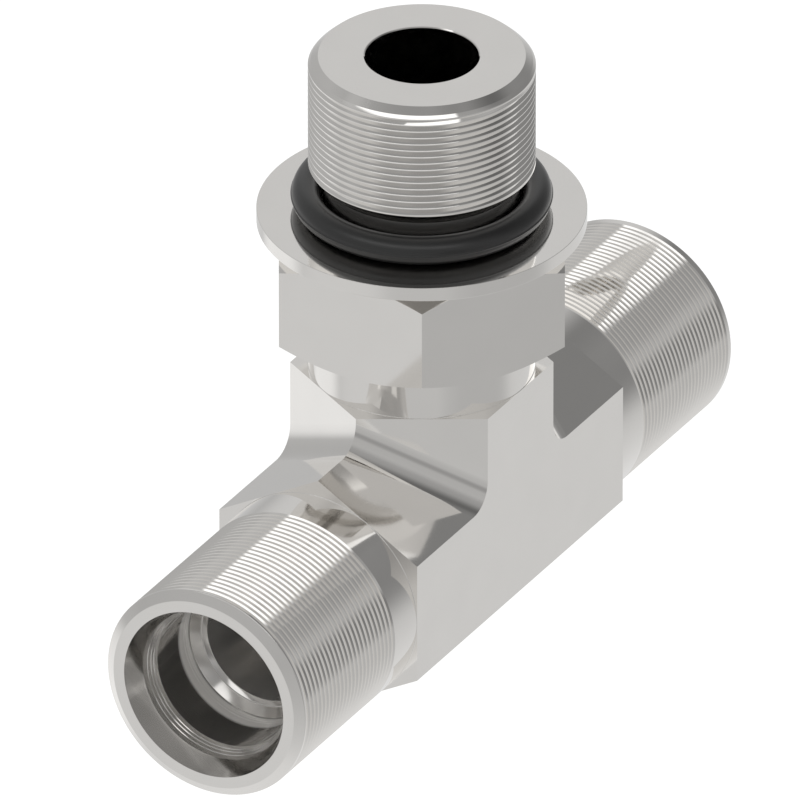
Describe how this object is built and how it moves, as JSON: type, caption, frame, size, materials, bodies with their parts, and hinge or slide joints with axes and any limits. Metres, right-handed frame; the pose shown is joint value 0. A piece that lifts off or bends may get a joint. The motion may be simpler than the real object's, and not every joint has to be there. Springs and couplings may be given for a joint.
{
  "type": "tee adapter",
  "caption": "Hydraulic tee adapter: straight run with two threaded ends and tube sockets, and an adjustable threaded stud branch with lock nut, washer and seal ring.",
  "frame": {"origin": "the point where the axis of the run crosses the axis of the branch", "axes": "+X along the run, +Z along the branch towards the end of the stud, +Y across the flats of the body"},
  "size_m": [0.1248, 0.0474, 0.0934],
  "materials": {
    "body_metal": "bright nickel plating on steel",
    "nut_metal": "bright nickel plating on steel",
    "washer_metal": "bright nickel plating on steel",
    "seal_rubber": "moulded nitrile rubber, satin"
  },
  "bodies": {
    "fitting": {"tee_body": "body_metal", "o_ring": "seal_rubber"},
    "washer": {"backup_washer": "washer_metal"},
    "nut": {"lock_nut": "nut_metal"}
  },
  "joints": [
    {"name": "washer_lift", "type": "slide", "parent": "fitting", "child": "washer", "axis": [0, 0, 1], "range_m": [-0.004, 0]},
    {"name": "nut_turn", "type": "hinge", "parent": "washer", "child": "nut", "pos_m": [0, 0, 0.0391], "axis": [0, 0, 1], "range_deg": [-720, 0]}
  ],
  "couplings": [
    {"joint": "washer_lift", "follows": "nut_turn", "m_per_rad": 0.00031831}
  ]
}
